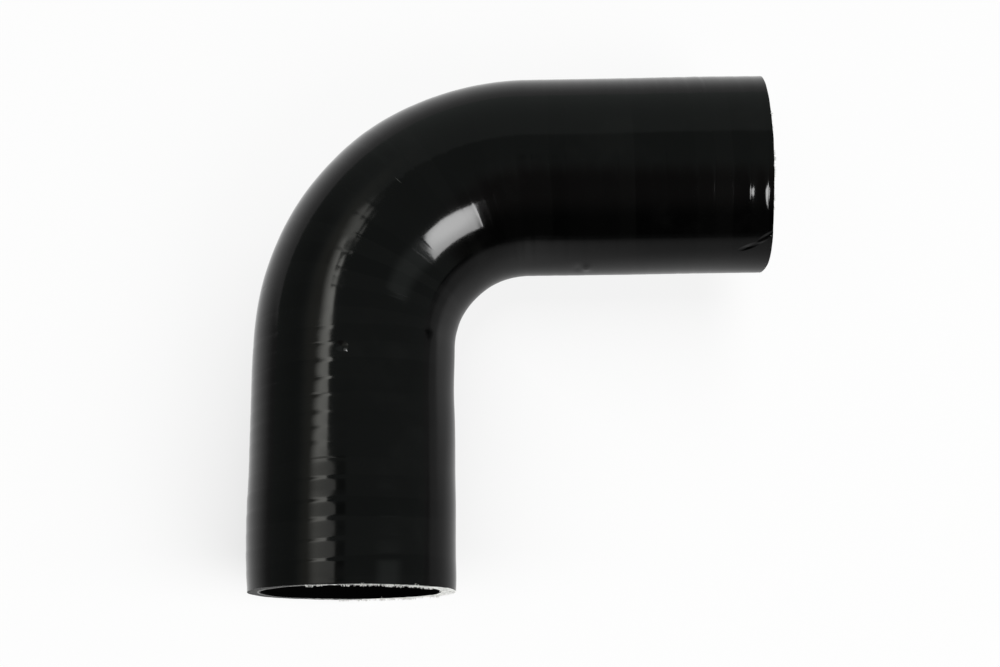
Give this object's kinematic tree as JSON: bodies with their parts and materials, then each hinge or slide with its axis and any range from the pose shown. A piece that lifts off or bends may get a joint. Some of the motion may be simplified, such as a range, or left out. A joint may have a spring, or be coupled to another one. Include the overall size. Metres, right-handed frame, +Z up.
{
  "type": "silicone elbow hose",
  "caption": "Moulded black silicone elbow hose with a smooth round bore, a right-angle bend and square-cut ends, for joining two ducts or pipes.",
  "frame": {"origin": "middle of the plan outline, on the surface that the hose lies on", "axes": "+Z up, +X along leg B out of its mouth, -Y along leg A out of its mouth"},
  "size_m": [0.1865, 0.1886, 0.073],
  "materials": {
    "black_silicone": "gloss"
  },
  "bodies": {
    "root": {"elbow_hose": "black_silicone"}
  },
  "joints": []
}
